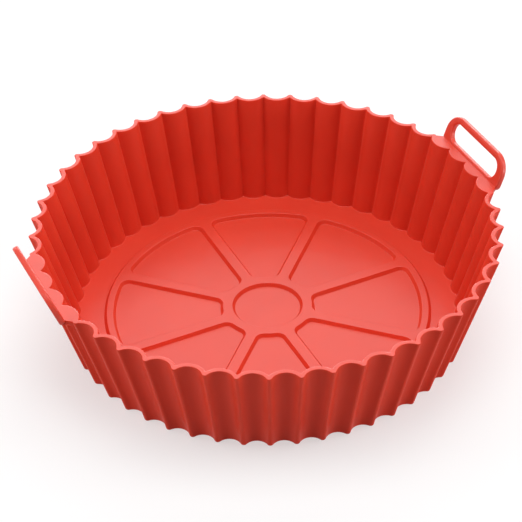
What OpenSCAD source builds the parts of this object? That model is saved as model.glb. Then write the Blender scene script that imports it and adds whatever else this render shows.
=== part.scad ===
// Air fryer liner: a round fluted silicone pan with a ribbed floor and two upright grip loops.
// Millimetres. Z is up, X runs through both grips, and the origin is the middle of the base, on the table.

/* [Pan] */
// Diameter over the ridges at the rim
rim_d = 200; // [185:1:220]
// Diameter over the ridges at the base
base_d = 172; // [150:1:180]
// Height of the pan, from the table to the rim
pan_h = 48; // [40:0.5:60]
// Thickness of the wall, square to its face
wall_t = 1.8; // [1.4:0.1:2.4]
// Thickness of the floor between the ribs
floor_t = 1.8; // [1.4:0.1:3]
// Chamfer round the foot
foot_chamfer = 0.8; // [0.4:0.1:1.2]

/* [Flutes] */
// Number of flutes round the wall, even so that both grips meet a ridge
flute_n = 50; // [44:2:54]
// Depth of a flute at the rim
flute_depth_rim = 3.7; // [3.2:0.1:4.2]
// Depth of a flute at the base
flute_depth_base = 2.9; // [2.4:0.1:3.4]
// Width of the narrow land left on each ridge between two flutes
ridge_w = 1; // [0.7:0.1:1.5]

/* [Floor ribs] */
// Height of the ribs above the floor
rib_h = 1.5; // [0.8:0.1:2.5]
// Number of sunk panels between the spokes
panel_n = 8; // [6:1:8]
// Width of a spoke
spoke_w = 4.8; // [4:0.1:6]
// Radius of the sunk hub in the middle
hub_r = 15.2; // [14:0.1:18]
// Width of the rib round the hub
hub_rib_w = 4.4; // [3.5:0.1:6]
// Width of the rib that closes the spokes' outer ends
ring_rib_w = 4; // [3:0.1:6]
// Width of the low floor between the closing rib and the folds of the wall
floor_edge_w = 10.1; // [6:0.1:14]
// Radius of a panel's corners
panel_corner_r = 4; // [3:0.1:5]

/* [Grips] */
// Outward lean of a grip loop from upright
loop_lean = 20; // [10:1:32]
// Thickness of a grip loop
loop_t = 2.6; // [2.2:0.1:4]
// Width of the finger slot
slot_w = 36.5; // [32:0.5:42]
// Height of the finger slot
slot_h = 9; // [7.5:0.1:12]
// Radius of the finger slot's corners
slot_corner_r = 3.2; // [2.5:0.1:3.7]
// Rise of the finger slot above the rim, along the lean
slot_rise = 1; // [0.8:0.1:2]
// Width of the bar above the finger slot
top_bar_w = 3; // [2.5:0.1:5]
// Width of the bar at each end of the finger slot
side_bar_w = 4.5; // [3.5:0.1:6]
// Radius of a grip loop's upper corners
loop_corner_r = 7; // [5:0.5:9]
// Radius of a grip loop's lower corners
loop_foot_r = 1.5; // [1:0.1:2]
// Thickness of the flange that fills the flutes behind a grip
flange_t = 2.6; // [2.2:0.1:3.5]
// Distance from the ridges at a flange's ends out to its grip loop
flange_out = 2.4; // [1.5:0.1:4]

/* [Hidden] */
rim_r = rim_d / 2;
base_r = base_d / 2;
wall_slope = (rim_r - base_r) / pan_h;
flute_step = 360 / flute_n;

// Half the angle that one flute takes between its two lands, at the rim and at the base
rim_half = flute_step / 2 - asin(ridge_w / 2 / rim_r);
base_half = flute_step / 2 - asin(ridge_w / 2 / base_r);

// Radius of a flute from its half chord and the height of its arc
function arc_r(half_chord, sag) = (half_chord ^ 2 + sag ^ 2) / (2 * sag);
rim_flute_r = arc_r(rim_r * sin(rim_half), flute_depth_rim - rim_r * (1 - cos(rim_half)));
base_flute_r = arc_r(base_r * sin(base_half), flute_depth_base - base_r * (1 - cos(base_half)));

// The line down the bottom of a flute leans outward, and the flute's own axis leans a little more
rim_floor_r = rim_r - flute_depth_rim;
base_floor_r = base_r - flute_depth_base;
flute_lean = atan((rim_floor_r - base_floor_r) / pan_h);
rim_axis_r = rim_floor_r + rim_flute_r / cos(flute_lean);
base_axis_r = base_floor_r + base_flute_r / cos(flute_lean);
axis_lean = atan((rim_axis_r - base_axis_r) / pan_h);
axis_len = pan_h / cos(axis_lean);
flute_taper = (rim_flute_r - base_flute_r) / axis_len;

// Floor ribs
ring_r = base_floor_r - wall_t - floor_edge_w;
panel_out_r = ring_r - ring_rib_w;
panel_in_r = hub_r + hub_rib_w;

// Grips: a flange fills the flutes between two ridges, and the loop stands on its straight outer edge
flange_flutes = 4;
flange_half = flange_flutes / 2 * flute_step;
flange_root_r = rim_floor_r - 2 * wall_t;
loop_x = rim_r * cos(flange_half) + flange_out;
loop_w = slot_w + 2 * side_bar_w;
loop_h = slot_rise + slot_h + top_bar_w;

// Cutters run past the faces that they cut, and joined solids run into each other
over = 3;
bite = 0.6;

// Angle between neighbouring points on a small corner and on a long arc
corner_step = 15;
long_step = 4;

$fn = 96;

// A point at radius r and angle a
function polar(r, a) = r * [cos(a), sin(a)];

// Points of an arc of radius r about c, from angle a0 to a1
function arc_points(c, r, a0, a1, step) = let (cuts = ceil(abs(a1 - a0) / step)) [
    for (i = [0 : cuts]) c + polar(r, a0 + (a1 - a0) * i / cuts)
];

// One flute as a leaning cone, made fatter by grow
module flute_cone(grow) {
    translate([base_axis_r, 0, 0])
        rotate([0, axis_lean, 0])
            translate([0, 0, -over])
                cylinder(
                    h = axis_len + 2 * over,
                    r1 = base_flute_r + grow - flute_taper * over,
                    r2 = rim_flute_r + grow + flute_taper * over
                );
}

module all_flutes(grow) {
    for (i = [0 : flute_n - 1])
        rotate([0, 0, (i + 0.5) * flute_step])
            flute_cone(grow);
}

// The pan before it is hollowed, with its flutes cut into the outside
module fluted_block() {
    difference() {
        rotate_extrude()
            polygon([
                [0, 0],
                [base_r - foot_chamfer, 0],
                [base_r + wall_slope * foot_chamfer, foot_chamfer],
                [rim_r, pan_h],
                [0, pan_h]
            ]);
        all_flutes(grow = 0);
    }
}

// The inside of the pan: each flute shows through the wall as a rounded fold
module cavity() {
    difference() {
        translate([0, 0, floor_t])
            cylinder(
                h = pan_h - floor_t + over,
                r1 = base_r + wall_slope * floor_t,
                r2 = rim_r + wall_slope * over
            );
        all_flutes(grow = wall_t);
    }
}

// Outline of one sunk panel about the X axis, with its four corners rounded
module panel_outline() {
    half = 180 / panel_n;
    edge = spoke_w / 2 + panel_corner_r;
    in_r = panel_in_r + panel_corner_r;
    out_r = panel_out_r - panel_corner_r;
    in_a = half - asin(edge / in_r);
    out_a = half - asin(edge / out_r);
    upper = concat(
        arc_points([0, 0], panel_out_r, 0, out_a, long_step),
        arc_points(polar(out_r, out_a), panel_corner_r, out_a, 90 + half, corner_step),
        arc_points(polar(in_r, in_a), panel_corner_r, 90 + half, 180 + in_a, corner_step),
        arc_points([0, 0], panel_in_r, in_a, 0, long_step)
    );
    lower = [for (i = [len(upper) - 2 : -1 : 1]) [upper[i].x, -upper[i].y]];
    polygon(concat(upper, lower));
}

// Ribs on the floor: a rib round the hub, spokes, and a closing rib round the sunk panels
module floor_ribs() {
    difference() {
        translate([0, 0, floor_t - bite])
            cylinder(h = rib_h + bite, r = ring_r);
        translate([0, 0, floor_t])
            cylinder(h = rib_h + over, r = hub_r);
        for (i = [0 : panel_n - 1])
            rotate([0, 0, (i + 0.5) * 360 / panel_n])
                translate([0, 0, floor_t])
                    linear_extrude(rib_h + over)
                        panel_outline();
    }
}

// Flat flange behind a grip, whose root the cavity trims to the wall's inner face
module flange() {
    translate([0, 0, pan_h - flange_t])
        linear_extrude(flange_t)
            polygon([
                polar(flange_root_r, -flange_half),
                polar(rim_r, -flange_half),
                [loop_x + bite, -loop_w / 2],
                [loop_x + bite, loop_w / 2],
                polar(rim_r, flange_half),
                polar(flange_root_r, flange_half)
            ]);
}

// A bar with round corners, from its low edge to its high edge
module round_bar(low, high, width, low_r, high_r) {
    right = concat(
        arc_points([width / 2 - low_r, low + low_r], low_r, -90, 0, corner_step),
        arc_points([width / 2 - high_r, high - high_r], high_r, 0, 90, corner_step)
    );
    left = [for (i = [len(right) - 1 : -1 : 0]) [-right[i].x, right[i].y]];
    polygon(concat(right, left));
}

// Upright grip loop with its finger slot, leaning outward from the flange's edge
module grip_loop() {
    translate([loop_x, 0, pan_h])
        rotate([0, loop_lean, 0])
            rotate([90, 0, 90])
                difference() {
                    linear_extrude(loop_t)
                        round_bar(-flange_t, loop_h, loop_w, loop_foot_r, loop_corner_r);
                    translate([0, 0, -over])
                        linear_extrude(loop_t + 2 * over)
                            round_bar(slot_rise, slot_rise + slot_h, slot_w, slot_corner_r, slot_corner_r);
                }
}

module liner() {
    color("red") {
        difference() {
            union() {
                fluted_block();
                for (side = [0, 180])
                    rotate([0, 0, side])
                        flange();
            }
            cavity();
        }
        floor_ribs();
        for (side = [0, 180])
            rotate([0, 0, side])
                grip_loop();
    }
}

liner();
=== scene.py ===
"""Air fryer liner: one red silicone moulding, a fluted pan with a ribbed floor and two grip loops."""

import math

import bmesh
import bpy
from mathutils import Matrix, Vector


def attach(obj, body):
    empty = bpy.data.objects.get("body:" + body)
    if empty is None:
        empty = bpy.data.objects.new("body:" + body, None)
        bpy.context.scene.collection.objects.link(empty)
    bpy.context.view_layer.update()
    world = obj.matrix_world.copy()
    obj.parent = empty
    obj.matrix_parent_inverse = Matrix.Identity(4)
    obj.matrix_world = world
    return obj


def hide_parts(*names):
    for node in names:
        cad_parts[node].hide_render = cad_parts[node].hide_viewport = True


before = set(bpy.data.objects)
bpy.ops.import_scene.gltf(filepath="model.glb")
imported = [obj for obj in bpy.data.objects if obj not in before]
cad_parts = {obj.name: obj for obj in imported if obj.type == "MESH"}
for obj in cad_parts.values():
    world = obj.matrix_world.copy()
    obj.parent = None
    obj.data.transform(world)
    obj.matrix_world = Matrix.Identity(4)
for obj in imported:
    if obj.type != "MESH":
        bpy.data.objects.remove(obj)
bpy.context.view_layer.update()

# Shapes are modelled in millimetres and made metres when they are finished
MM = 0.001

# The pan, with the same sizes as the part's source
RIM_R = 100
BASE_R = 86
PAN_H = 48
WALL_T = 1.8
FLOOR_T = 1.8

# The flutes round the wall
FLUTE_N = 50
FLUTE_DEPTH_RIM = 3.7
FLUTE_DEPTH_BASE = 2.9
HALF_STEP = math.pi / FLUTE_N

# The ridges are soft and round, so each takes more width than the narrow land in the part's source
RIDGE_W = 1.6

# Bends inside the wall, between one fold and the next, and how finely the arcs are drawn
CREASE_R_RIM = 0.35
CREASE_R_BASE = 0.5
ARC_STEPS = 6
BEND_STEPS = 4
WALL_ROWS = 6

# Rounded edges of the moulding
RIM_EDGE_R = 0.3
FOOT_EDGE_R = 0.7
FLOOR_FILLET_R = 0.25
RIB_EDGE_R = 0.25
RIB_FILLET_R = 0.15
EDGE_STEPS = 3
FLAT_MARGIN = 0.1

# A flat band tips by this much, so that a loop never lies level with the loop that it is joined to
HAIR = 0.002

# Points nearer to each other than this are one point, and shorter edges are taken out
TINY = 0.001

# Vertices are put in order along this line, on which no two of a piece fall together
ORDER_LINE = Vector((1, 3.71, 11.37))

# Edges that turn more than these angles are rounded, on the pan and on the grips
PAN_SHARP = math.radians(40)
GRIP_SHARP = math.radians(60)

# A face looks up where its normal has at least this much of Z
LOOKS_UP = 0.9

# How much the larger faces count when the shading is evened out, from 1 to 100
EVEN_WEIGHT = 90

# The ribs on the floor, with sides that slope by the draft from their top to the floor
RIB_H = 1.5
RIB_DRAFT = 0.9
PANEL_N = 8
SPOKE_W = 4.8
HUB_R = 15.2
HUB_RIB_W = 4.4
RING_RIB_W = 4
FLOOR_EDGE_W = 10.1
PANEL_CORNER_R = 4
RING_R = BASE_R - FLUTE_DEPTH_BASE - WALL_T - FLOOR_EDGE_W
PANEL_OUT_R = RING_R - RING_RIB_W
PANEL_IN_R = HUB_R + HUB_RIB_W
HUB_STEPS = 72
RING_STEPS = 160
PANEL_IN_STEPS = 2

# The flanges behind the grips. Each runs a bite into its loop, is a little narrower there than the
# loop, and ends a small turn short of the ridges at its ends
FLANGE_FLUTES = 4
FLANGE_T = 2.6
FLANGE_OUT = 2.4
FLANGE_BITE = 1.3
FLANGE_END_TRIM = 1.6
FLANGE_SHORT_TURN = math.radians(0.37)

# The grip loops that stand on the flanges
LOOP_LEAN = 20
LOOP_T = 2.6
SLOT_W = 36.5
SLOT_H = 9
SLOT_CORNER_R = 4.2
SLOT_RISE = 1
TOP_BAR_W = 3
SIDE_BAR_W = 4.5
LOOP_CORNER_R = 8.5
LOOP_FOOT_R = 3.4
LOOP_EDGE_R = 0.7
CORNER_STEPS = 8
FLANGE_HALF = FLANGE_FLUTES * HALF_STEP
LOOP_X = RIM_R * math.cos(FLANGE_HALF) + FLANGE_OUT
LOOP_W = SLOT_W + 2 * SIDE_BAR_W
LOOP_H = SLOT_RISE + SLOT_H + TOP_BAR_W


def between(low, high, share):
    """The value that lies a share of the way from low to high."""
    return low + (high - low) * share


def arc_radius(half_chord, rise):
    """Radius of an arc from its half chord and its height."""
    return (half_chord ** 2 + rise ** 2) / (2 * rise)


def flute_radius(ridge_r, depth):
    """Radius of the arc that forms one flute between two ridges."""
    half = HALF_STEP - math.asin(RIDGE_W / 2 / ridge_r)
    return arc_radius(ridge_r * math.sin(half), depth - ridge_r * (1 - math.cos(half)))


RIM_FLUTE_R = flute_radius(RIM_R, FLUTE_DEPTH_RIM)
BASE_FLUTE_R = flute_radius(BASE_R, FLUTE_DEPTH_BASE)
WALL_LEAN = math.atan((RIM_R - BASE_R) / PAN_H)
WALL_ACROSS = WALL_T / math.cos(WALL_LEAN)


def draw_arc(bm, vert, centre, angle, steps):
    """Draw an arc from a vertex about a centre, and give back the arc's last vertex."""
    made = bmesh.ops.spin(
        bm, geom=[vert], cent=centre, axis=(0, 0, 1), angle=angle, steps=steps
    )
    return next(part for part in made["geom_last"] if isinstance(part, bmesh.types.BMVert))


def draw_line(bm, vert, to):
    """Draw a straight edge from a vertex to a point, and give back its far vertex."""
    made = bmesh.ops.extrude_vert_indiv(bm, verts=[vert])
    far = made["verts"][0]
    bmesh.ops.translate(bm, verts=[far], vec=Vector(to) - far.co)
    return far


def mirror_all(bm, axis):
    """Complete a half outline with its mirror image, joined where the halves meet."""
    whole = bm.verts[:] + bm.edges[:]
    bmesh.ops.mirror(bm, geom=whole, matrix=Matrix.Identity(4), merge_dist=TINY, axis=axis)


def turn_all(bm, angle):
    """Turn a whole mesh about the Z axis."""
    bmesh.ops.rotate(bm, verts=bm.verts, cent=(0, 0, 0), matrix=Matrix.Rotation(angle, 3, "Z"))


def copies_round(bm, count):
    """Repeat a whole mesh evenly round the Z axis."""
    bmesh.ops.spin(
        bm,
        geom=bm.verts[:] + bm.edges[:] + bm.faces[:],
        cent=(0, 0, 0),
        axis=(0, 0, 1),
        angle=math.tau * (count - 1) / count,
        steps=count - 1,
        use_duplicate=True,
    )


def add_to(bm, drawn):
    """Move a mesh that was drawn by itself into bm, and give back the edges it brings."""
    sheet = bpy.data.meshes.new("sheet")
    drawn.to_mesh(sheet)
    drawn.free()
    count = len(bm.edges)
    bm.from_mesh(sheet)
    bpy.data.meshes.remove(sheet)
    return bm.edges[count:]


def wavy_ring(bm, z, axis_r, arc_r, bend_r):
    """A closed ring of flute arcs at one height, each joined to the next by a small bend."""
    reach = math.sqrt((arc_r + bend_r) ** 2 - (axis_r * math.sin(HALF_STEP)) ** 2)
    bend_at = axis_r * math.cos(HALF_STEP) - reach
    bend = Vector((bend_at * math.cos(HALF_STEP), bend_at * math.sin(HALF_STEP), z))
    swing = math.atan2(bend.y, axis_r - bend.x)
    ring = bmesh.new()
    trough = ring.verts.new((axis_r - arc_r, 0, z))
    turn = draw_arc(ring, trough, (axis_r, 0, z), -swing, ARC_STEPS)
    draw_arc(ring, turn, bend, swing + HALF_STEP, BEND_STEPS)
    mirror_all(ring, "Y")
    turn_all(ring, HALF_STEP)
    copies_round(ring, FLUTE_N)
    bmesh.ops.remove_doubles(ring, verts=ring.verts, dist=TINY)
    return add_to(bm, ring)


def outer_ring(bm, z, inset=0):
    """The outside of the wall at one height, moved in by inset. Its ridges reach the full radius."""
    up = z / PAN_H
    arc_r = between(BASE_FLUTE_R, RIM_FLUTE_R, up)
    ridge_r = between(BASE_R, RIM_R, up)
    axis_r = ridge_r - between(FLUTE_DEPTH_BASE, FLUTE_DEPTH_RIM, up) + arc_r
    gap = axis_r ** 2 + ridge_r ** 2 - 2 * axis_r * ridge_r * math.cos(HALF_STEP) - arc_r ** 2
    bend_r = gap / (2 * (arc_r + ridge_r - axis_r * math.cos(HALF_STEP)))
    return wavy_ring(bm, z, axis_r, arc_r + inset, bend_r - inset)


def inner_ring(bm, z, inset=0):
    """The inside of the wall at one height, one wall's thickness in, moved in by inset."""
    up = z / PAN_H
    arc_r = between(BASE_FLUTE_R, RIM_FLUTE_R, up) + WALL_ACROSS
    ridge_r = between(BASE_R, RIM_R, up)
    axis_r = ridge_r - between(FLUTE_DEPTH_BASE, FLUTE_DEPTH_RIM, up) + arc_r - WALL_ACROSS
    crease_r = between(CREASE_R_BASE, CREASE_R_RIM, up)
    return wavy_ring(bm, z, axis_r, arc_r + inset, crease_r - inset)


def quarter(radius):
    """Steps of a rounded edge: how far in and how far down each lies from the corner it rounds."""
    steps = []
    for i in range(EDGE_STEPS + 1):
        turn = math.pi / 2 * i / EDGE_STEPS
        steps.append((radius * (1 - math.sin(turn)), radius * (1 - math.cos(turn))))
    return steps


def bridge(bm, first, second):
    """Join two closed edge loops with a band of faces."""
    made = bmesh.ops.bridge_loops(bm, edges=first + second)
    return made["faces"]


def fill(bm, edges):
    """Fill a flat area between closed loops, leaving the loops inside it open."""
    bmesh.ops.triangle_fill(bm, use_beauty=True, use_dissolve=False, edges=edges, normal=(0, 0, 1))


def round_edges(bm, edges, radius):
    """Round sharp edges to a radius."""
    bmesh.ops.bevel(
        bm,
        geom=edges,
        offset=radius,
        offset_type="OFFSET",
        affect="EDGES",
        segments=EDGE_STEPS,
        profile=0.5,
        material=-1,
        clamp_overlap=False,
    )


def ring_circle(bm, radius, z, steps):
    """A closed circle of edges about the Z axis."""
    circle = bmesh.new()
    place = Matrix.Translation((0, 0, z))
    bmesh.ops.create_circle(circle, cap_ends=False, segments=steps, radius=radius, matrix=place)
    return add_to(bm, circle)


def panel_loop(bm, grow, z):
    """Outline of a sunk floor panel about the X axis, made larger all round by grow."""
    half = math.pi / PANEL_N
    edge = SPOKE_W / 2 + PANEL_CORNER_R
    in_r = PANEL_IN_R + PANEL_CORNER_R
    out_r = PANEL_OUT_R - PANEL_CORNER_R
    in_a = half - math.asin(edge / in_r)
    out_a = half - math.asin(edge / out_r)
    in_corner = Vector((in_r * math.cos(in_a), in_r * math.sin(in_a), z))
    out_corner = Vector((out_r * math.cos(out_a), out_r * math.sin(out_a), z))
    side = Vector((-math.sin(half), math.cos(half), 0)) * (PANEL_CORNER_R + grow)
    outline = bmesh.new()
    vert = outline.verts.new((PANEL_OUT_R + grow, 0, z))
    vert = draw_arc(outline, vert, (0, 0, z), out_a, CORNER_STEPS)
    vert = draw_arc(outline, vert, out_corner, math.pi / 2 + half - out_a, CORNER_STEPS)
    vert = draw_line(outline, vert, in_corner + side)
    vert = draw_arc(outline, vert, in_corner, math.pi / 2 + in_a - half, CORNER_STEPS)
    draw_arc(outline, vert, (0, 0, z), -in_a, PANEL_IN_STEPS)
    mirror_all(outline, "Y")
    return add_to(bm, outline)


def rib_steps():
    """How far out and how high each loop down the side of a rib lies, from its top to the floor."""
    top = FLOOR_T + RIB_H
    steps = [(RIB_EDGE_R + FLAT_MARGIN, top + HAIR)]
    steps += [(aside, top - down) for aside, down in quarter(RIB_EDGE_R)]
    foot = -RIB_DRAFT
    steps += [(foot - aside, FLOOR_T + down) for aside, down in reversed(quarter(RIB_FILLET_R))]
    steps.append((foot - RIB_FILLET_R - FLAT_MARGIN, FLOOR_T - HAIR))
    return steps


def band_through(bm, loops):
    """Join closed loops in turn with bands of faces, and give back the first and the last loop."""
    for near, far in zip(loops, loops[1:]):
        bridge(bm, near, far)
    return loops[0], loops[-1]


def floor_panels(bm):
    """The sunk panels, each with rounded ribs round it. Gives back the edges round their tops."""
    panel = bmesh.new()
    top, low = band_through(panel, [panel_loop(panel, grow, z) for grow, z in rib_steps()])
    fill(panel, low)
    turn_all(panel, math.pi / PANEL_N)
    copies_round(panel, PANEL_N)
    return [e for e in add_to(bm, panel) if e.is_boundary]


def ribbed_floor(bm, wall_foot):
    """The floor inside the pan, up to the loop at the foot of the wall."""
    hub = [ring_circle(bm, HUB_R + grow, z, HUB_STEPS) for grow, z in rib_steps()]
    top_r = RING_R - RIB_DRAFT
    ring = [ring_circle(bm, top_r - grow, z, RING_STEPS) for grow, z in rib_steps()]
    panel_tops = floor_panels(bm)
    hub_top, hub_low = band_through(bm, hub)
    ring_top, ring_low = band_through(bm, ring)
    fill(bm, hub_low)
    fill(bm, panel_tops + hub_top + ring_top)
    fill(bm, ring_low + wall_foot)


def pull_flange(bm, band, side):
    """Draw the top of the wall out into a flange, over the flutes behind one grip, and join what it
    brings into plain flat faces."""
    reach = FLANGE_HALF - FLANGE_SHORT_TURN
    faces = []
    for face in band:
        middle = face.calc_center_median()
        if abs(math.atan2(middle.y, middle.x * side)) < reach:
            faces.append(face)
    made = bmesh.ops.extrude_face_region(bm, geom=faces)
    verts = [part for part in made["geom"] if isinstance(part, bmesh.types.BMVert)]
    bmesh.ops.delete(bm, geom=[f for f in faces if f.is_valid], context="FACES")
    seams = []
    for vert in verts:
        at_an_end = len(vert.link_faces) < 4
        for edge in vert.link_edges:
            other = edge.other_vert(vert)
            along = other in verts and abs(other.co.z - vert.co.z) < HAIR
            if not (at_an_end or along or edge in seams):
                seams.append(edge)
    across = (LOOP_W / 2 - FLANGE_END_TRIM) / max(v.co.y for v in verts)
    bmesh.ops.scale(bm, verts=verts, vec=(0, across, 1))
    bmesh.ops.translate(bm, verts=verts, vec=(side * (LOOP_X + FLANGE_BITE), 0, 0))
    bmesh.ops.dissolve_edges(bm, edges=seams, use_verts=True)


def sharp_edges(bm, z):
    """Edges at one height where the surface turns an outward corner."""
    level = [e for e in bm.edges if all(abs(v.co.z - z) < TINY for v in e.verts)]
    return [e for e in level if e.is_convex and e.calc_face_angle() > PAN_SHARP]


def smoother_on_top(bm):
    """Give the second of a piece's skins to the faces that look up."""
    bm.normal_update()
    for face in bm.faces:
        face.material_index = int(face.normal.z > LOOKS_UP)


def faces_in_order(bm):
    """Vertex numbers and skin number of each face, in an order that is the same in each run."""
    bm.verts.sort(key=lambda vert: vert.co.dot(ORDER_LINE))
    bm.verts.index_update()
    rows = []
    for face in bm.faces:
        corners = [vert.index for vert in face.verts]
        # A four-sided face may start at either end of the same diagonal
        if len(corners) == 4 and corners[2] < corners[0]:
            corners = corners[2:] + corners[:2]
        rows.append((corners, face.material_index))
    return sorted(rows)


def finish_mesh(bm, name, skins):
    """Make a smooth-shaded object in metres from a finished shape in millimetres."""
    bmesh.ops.dissolve_degenerate(bm, dist=TINY, edges=bm.edges)
    bmesh.ops.recalc_face_normals(bm, faces=bm.faces)
    rows = faces_in_order(bm)
    mesh = bpy.data.meshes.new(name)
    mesh.from_pydata([vert.co * MM for vert in bm.verts], [], [corners for corners, skin in rows])
    bm.free()
    for skin in skins:
        mesh.materials.append(skin)
    mesh.polygons.foreach_set("material_index", [skin for corners, skin in rows])
    mesh.shade_smooth()
    piece = bpy.data.objects.new(name, mesh)
    bpy.context.scene.collection.objects.link(piece)
    even = piece.modifiers.new("even_shading", "WEIGHTED_NORMAL")
    even.mode = "FACE_AREA"
    even.weight = EVEN_WEIGHT
    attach(piece, "root")
    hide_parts("liner")


def make_pan(skins):
    """The fluted pan: wall, rim, foot, floor with its ribs, and the two flanges."""
    bm = bmesh.new()
    flange_z = PAN_H - FLANGE_T
    outer = [outer_ring(bm, HAIR, FOOT_EDGE_R + FLAT_MARGIN)]
    outer += [outer_ring(bm, down, aside) for aside, down in quarter(FOOT_EDGE_R)]
    rows = [between(FOOT_EDGE_R, flange_z, i / WALL_ROWS) for i in range(1, WALL_ROWS + 1)]
    outer += [outer_ring(bm, z) for z in rows]
    rim = [outer_ring(bm, PAN_H), outer_ring(bm, PAN_H + HAIR, RIM_EDGE_R + FLAT_MARGIN)]
    rim.append(inner_ring(bm, PAN_H + 2 * HAIR, -RIM_EDGE_R - FLAT_MARGIN))
    rim += [inner_ring(bm, PAN_H - down, -aside) for aside, down in quarter(RIM_EDGE_R)]
    inner_foot = FLOOR_T + FLOOR_FILLET_R
    rows = [between(PAN_H - RIM_EDGE_R, inner_foot, i / WALL_ROWS) for i in range(1, WALL_ROWS)]
    inner = [inner_ring(bm, z) for z in rows]
    fillet = reversed(quarter(FLOOR_FILLET_R))
    inner += [inner_ring(bm, FLOOR_T + down, aside) for aside, down in fillet]
    inner.append(inner_ring(bm, FLOOR_T - HAIR, FLOOR_FILLET_R + FLAT_MARGIN))
    foot, flange_edge = band_through(bm, outer)
    band = bridge(bm, flange_edge, rim[0])
    wall_foot = band_through(bm, rim + inner)[1]
    ribbed_floor(bm, wall_foot)
    fill(bm, foot)
    for side in (1, -1):
        pull_flange(bm, [f for f in band if f.is_valid], side)
    bmesh.ops.recalc_face_normals(bm, faces=bm.faces)
    round_edges(bm, sharp_edges(bm, PAN_H), RIM_EDGE_R)
    round_edges(bm, sharp_edges(bm, flange_z), RIM_EDGE_R)
    smoother_on_top(bm)
    finish_mesh(bm, "fluted_pan", skins)


def round_bar(bm, low, high, width, low_r, high_r):
    """A closed outline with round corners, upright in the XY plane."""
    low_x, high_x = width / 2 - low_r, width / 2 - high_r
    bar = bmesh.new()
    vert = bar.verts.new((0, low, 0))
    vert = draw_line(bar, vert, (low_x, low, 0))
    vert = draw_arc(bar, vert, (low_x, low + low_r, 0), math.pi / 2, CORNER_STEPS)
    vert = draw_line(bar, vert, (width / 2, high - high_r, 0))
    vert = draw_arc(bar, vert, (high_x, high - high_r, 0), math.pi / 2, CORNER_STEPS)
    draw_line(bar, vert, (0, high, 0))
    mirror_all(bar, "X")
    return add_to(bm, bar)


def make_grip(name, side_turn, skins):
    """One upright grip loop with its finger slot, leaning outward on its flange."""
    bm = bmesh.new()
    outline = round_bar(bm, -FLANGE_T, LOOP_H, LOOP_W, LOOP_FOOT_R, LOOP_CORNER_R)
    slot = round_bar(bm, SLOT_RISE, SLOT_RISE + SLOT_H, SLOT_W, SLOT_CORNER_R, SLOT_CORNER_R)
    face = bridge(bm, outline, slot)
    made = bmesh.ops.extrude_face_region(bm, geom=face)
    raised = [part for part in made["geom"] if isinstance(part, bmesh.types.BMVert)]
    bmesh.ops.translate(bm, verts=raised, vec=(0, 0, LOOP_T))
    bmesh.ops.recalc_face_normals(bm, faces=bm.faces)
    edges = [e for e in bm.edges if e.calc_face_angle() > GRIP_SHARP]
    round_edges(bm, edges, LOOP_EDGE_R)
    upright = Matrix(((0, 0, 1, 0), (1, 0, 0, 0), (0, 1, 0, 0), (0, 0, 0, 1)))
    lean = Matrix.Rotation(math.radians(LOOP_LEAN), 4, "Y")
    place = Matrix.Translation((LOOP_X, 0, PAN_H))
    side = Matrix.Rotation(side_turn, 4, "Z")
    bmesh.ops.transform(bm, matrix=side @ place @ lean @ upright, verts=bm.verts)
    finish_mesh(bm, name, skins)


# How the silicone looks: its colour, and the skins that the mould gives it. Faces that look up come
# smoother from the mould than the sides of the wall. Each skin has its roughness and its gloss
RED = (0.7, 0.052, 0.025)
RED_DEEP = (0.66, 0.046, 0.022)
SIDE_SKIN = (0.42, 0.05)
TOP_SKIN = (0.33, 0.62)
GRIP_SKIN = (0.34, 0.35)
SKIN_SPREAD = 0.06

# Light passes a little way into the silicone: how much of it, how far each colour goes, and the scale
DEPTH_SHARE = 0.2
DEPTH_REACH = (1, 0.2, 0.1)
DEPTH_SCALE = 0.002

# Patterns on the skin, in bumps a metre: clouds of colour, satin haze, moulded grain and soft ripple
CLOUDS = 28
CLOUD_LOW, CLOUD_HIGH = 0.3, 0.6
HAZE = 220
GRAIN = 2600
RIPPLE = 60

# Strength of the grain and of the ripple, and their height in metres
GRAIN_RELIEF = (0.25, 0.00006)
RIPPLE_RELIEF = (0.5, 0.0003)


def add(nodes, kind, **values):
    """A shader node of one kind, with its settings."""
    node = nodes.new("ShaderNode" + kind)
    for name, value in values.items():
        setattr(node, name, value)
    return node


def noise(nodes, links, where, scale, detail):
    """A noise texture on the object's own coordinates. The scale is in bumps a metre."""
    texture = add(nodes, "TexNoise")
    texture.inputs["Scale"].default_value = scale
    texture.inputs["Detail"].default_value = detail
    links.new(where, texture.inputs["Vector"])
    return texture.outputs["Fac"]


def relief(nodes, links, height, amount):
    """A bump of some strength and height in metres, over a pattern of heights."""
    bump = add(nodes, "Bump")
    bump.inputs["Strength"].default_value, bump.inputs["Distance"].default_value = amount
    links.new(height, bump.inputs["Height"])
    return bump


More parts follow.
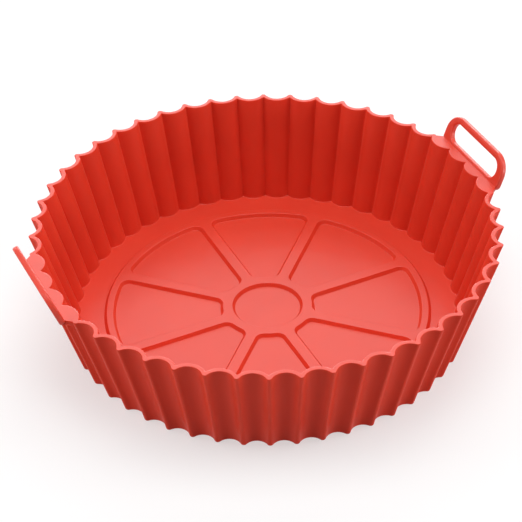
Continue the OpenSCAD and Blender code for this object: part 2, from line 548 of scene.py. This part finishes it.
def moulded_skin():
    """The look that every face of the silicone shares: uneven colour, satin haze and moulded grain."""
    group = bpy.data.node_groups.new("moulded_skin", "ShaderNodeTree")
    for name, kind in (("Smoothest", "Float"), ("Roughest", "Float")):
        group.interface.new_socket(name=name, in_out="INPUT", socket_type="NodeSocket" + kind)
    for name, kind in (("Color", "Color"), ("Roughness", "Float"), ("Normal", "Vector")):
        group.interface.new_socket(name=name, in_out="OUTPUT", socket_type="NodeSocket" + kind)
    nodes, links = group.nodes, group.links
    given = nodes.new("NodeGroupInput").outputs
    result = nodes.new("NodeGroupOutput").inputs
    where = add(nodes, "TexCoord").outputs["Object"]

    clouds = noise(nodes, links, where, CLOUDS, 2)
    tint = add(nodes, "Mix", data_type="RGBA")
    tint.inputs["A"].default_value = (*RED_DEEP, 1)
    tint.inputs["B"].default_value = (*RED, 1)
    spread = add(nodes, "MapRange")
    spread.inputs["From Min"].default_value = CLOUD_LOW
    spread.inputs["From Max"].default_value = CLOUD_HIGH
    links.new(clouds, spread.inputs["Value"])
    links.new(spread.outputs["Result"], tint.inputs["Factor"])
    links.new(tint.outputs["Result"], result["Color"])

    haze = noise(nodes, links, where, HAZE, 3)
    satin = add(nodes, "MapRange")
    links.new(given["Smoothest"], satin.inputs["To Min"])
    links.new(given["Roughest"], satin.inputs["To Max"])
    links.new(haze, satin.inputs["Value"])
    links.new(satin.outputs["Result"], result["Roughness"])

    fine = relief(nodes, links, noise(nodes, links, where, GRAIN, 2), GRAIN_RELIEF)
    soft = relief(nodes, links, noise(nodes, links, where, RIPPLE, 1), RIPPLE_RELIEF)
    links.new(soft.outputs["Normal"], fine.inputs["Normal"])
    links.new(fine.outputs["Normal"], result["Normal"])
    return group


def silicone(name, look, skin):
    """Red silicone, as smooth and as glossy as one skin of the moulding."""
    roughness, gloss = skin
    material = bpy.data.materials.new(name)
    material.use_nodes = True
    nodes, links = material.node_tree.nodes, material.node_tree.links
    shader = nodes["Principled BSDF"]
    shared = add(nodes, "Group", node_tree=look)
    shared.inputs["Smoothest"].default_value = roughness - SKIN_SPREAD
    shared.inputs["Roughest"].default_value = roughness + SKIN_SPREAD
    links.new(shared.outputs["Color"], shader.inputs["Base Color"])
    links.new(shared.outputs["Roughness"], shader.inputs["Roughness"])
    links.new(shared.outputs["Normal"], shader.inputs["Normal"])
    shader.inputs["Specular IOR Level"].default_value = gloss
    shader.inputs["Subsurface Weight"].default_value = DEPTH_SHARE
    shader.inputs["Subsurface Radius"].default_value = DEPTH_REACH
    shader.inputs["Subsurface Scale"].default_value = DEPTH_SCALE
    return material


# How bright the surround and the floor's own glow are, as light on the liner and as they show
SURROUND_LIGHT = 0.05
SURROUND_SHOWN = 1
FLOOR_COLOUR = 0.4
FLOOR_LIGHT = 0.22
FLOOR_SHOWN = 0.56

# Far from the liner, out of the lamps' reach, the floor shows as white by its own glow
FLOOR_NEAR = 0.35
FLOOR_FAR = 1.6
FLOOR_HALF = 20

# The softboxes: power in watts, width and height in metres, and place. The low ones graze the flutes
# and the rim
SOFTBOXES = {
    "top_softbox": (12.1, 1, 1, (-0.02, -0.04, 1.3)),
    "back_softbox": (5.6, 1.6, 1.2, (0.44, 0.93, 0.8)),
    "left_softbox": (4.1, 0.5, 0.8, (-0.9, 0.44, 0.75)),
    "right_softbox": (5, 0.5, 0.8, (0.9, -0.44, 0.75)),
    "low_left_softbox": (3.4, 0.4, 0.2, (-1.2, 0.1, 0.11)),
    "low_right_softbox": (3.8, 0.4, 0.2, (0.85, -0.85, 0.11)),
    "low_back_softbox": (6, 1.2, 0.2, (0.5, 1.05, 0.3)),
    "front_softbox": (0.4, 1.0, 0.25, (-0.5, -1.07, 0.18)),
}


def white_far_off(nodes, links):
    """The floor's shown glow, which grows to white with the distance from the liner."""
    where = add(nodes, "TexCoord").outputs["Object"]
    away = add(nodes, "VectorMath", operation="LENGTH")
    links.new(where, away.inputs["Vector"])
    glow = add(nodes, "MapRange", interpolation_type="SMOOTHSTEP")
    glow.inputs["From Min"].default_value = FLOOR_NEAR
    glow.inputs["From Max"].default_value = FLOOR_FAR
    glow.inputs["To Min"].default_value = FLOOR_SHOWN
    glow.inputs["To Max"].default_value = 1
    links.new(away.outputs["Value"], glow.inputs["Value"])
    return glow.outputs["Result"]


def shown_or_light(nodes, links, light):
    """A strength for light on the liner, and another for what is seen: directly, in gloss or through
    glass. Gives back the strength and the socket that takes what is seen."""
    path = add(nodes, "LightPath").outputs
    seen = path["Is Camera Ray"]
    for also in ("Is Glossy Ray", "Is Transmission Ray"):
        either = add(nodes, "Math", operation="MAXIMUM")
        links.new(seen, either.inputs[0])
        links.new(path[also], either.inputs[1])
        seen = either.outputs["Value"]
    level = add(nodes, "MapRange")
    level.inputs["To Min"].default_value = light
    links.new(seen, level.inputs["Value"])
    return level.outputs["Result"], level.inputs["To Max"]


def make_stage():
    """A plain white floor that keeps the liner's shadow."""
    bm = bmesh.new()
    bmesh.ops.create_grid(bm, x_segments=1, y_segments=1, size=FLOOR_HALF)
    mesh = bpy.data.meshes.new("studio_floor")
    bm.to_mesh(mesh)
    bm.free()
    floor = bpy.data.objects.new("studio_floor", mesh)
    bpy.context.scene.collection.objects.link(floor)
    material = bpy.data.materials.new("studio_floor")
    material.use_nodes = True
    nodes, links = material.node_tree.nodes, material.node_tree.links
    shader = nodes["Principled BSDF"]
    shader.inputs["Base Color"].default_value = (FLOOR_COLOUR, FLOOR_COLOUR, FLOOR_COLOUR, 1)
    shader.inputs["Emission Color"].default_value = (1, 1, 1, 1)
    strength, shown = shown_or_light(nodes, links, FLOOR_LIGHT)
    links.new(white_far_off(nodes, links), shown)
    links.new(strength, shader.inputs["Emission Strength"])
    shader.inputs["Roughness"].default_value = 1
    shader.inputs["Specular IOR Level"].default_value = 0
    mesh.materials.append(material)


def make_lamp(name, power, width, height, place):
    """A broad softbox that faces the liner."""
    lamp = bpy.data.lights.new(name, "AREA")
    lamp.shape = "RECTANGLE"
    lamp.energy = power
    lamp.size = width
    lamp.size_y = height
    softbox = bpy.data.objects.new(name, lamp)
    softbox.location = place
    softbox.rotation_euler = (-Vector(place)).to_track_quat("-Z", "Y").to_euler()
    softbox.visible_camera = False
    bpy.context.scene.collection.objects.link(softbox)


def make_light():
    """Plain soft studio light: an even white surround, and lamps overhead and on every side."""
    world = bpy.data.worlds.new("studio")
    bpy.context.scene.world = world
    world.use_nodes = True
    nodes, links = world.node_tree.nodes, world.node_tree.links
    background = nodes["Background"]
    background.inputs["Color"].default_value = (1, 1, 1, 1)
    strength, shown = shown_or_light(nodes, links, SURROUND_LIGHT)
    shown.default_value = SURROUND_SHOWN
    links.new(strength, background.inputs["Strength"])
    for name, (power, width, height, place) in SOFTBOXES.items():
        make_lamp(name, power, width, height, place)


# The photograph's view, in degrees and millimetres: where the camera stands round the liner, and what
# it points at
VIEW_TURN = -25.01
VIEW_ELEVATION = 37.833
VIEW_ROLL = -1.255
VIEW_DISTANCE = 842.6
AIM_RIGHT = -2.44
AIM_BACK = 35.41

# The width of the camera's sensor, and its focal length as a share of that
SENSOR = 36
FOCAL_SHARE = 3.56419


def make_camera():
    """The camera at the photograph's viewing angle."""
    data = bpy.data.cameras.new("photo_camera")
    data.sensor_width = SENSOR
    data.lens = SENSOR * FOCAL_SHARE
    camera = bpy.data.objects.new("photo_camera", data)
    bpy.context.scene.collection.objects.link(camera)
    turn = Matrix.Rotation(math.radians(VIEW_TURN), 4, "Z")
    aim = Matrix.Translation(Vector((AIM_RIGHT, AIM_BACK, 0)) * MM)
    tilt = Matrix.Rotation(math.radians(90 - VIEW_ELEVATION), 4, "X")
    back = Matrix.Translation((0, 0, VIEW_DISTANCE * MM))
    roll = Matrix.Rotation(math.radians(VIEW_ROLL), 4, "Z")
    camera.matrix_world = turn @ aim @ tilt @ back @ roll
    bpy.context.scene.camera = camera


make_camera()
skin_look = moulded_skin()
red_sides = silicone("red_silicone_sides", skin_look, SIDE_SKIN)
red_tops = silicone("red_silicone_tops", skin_look, TOP_SKIN)
red_grips = silicone("red_silicone_grips", skin_look, GRIP_SKIN)
make_pan([red_sides, red_tops])
make_grip("grip_right", 0, [red_grips])
make_grip("grip_left", math.pi, [red_grips])
make_stage()
make_light()
bpy.context.scene.view_settings.view_transform = "Standard"
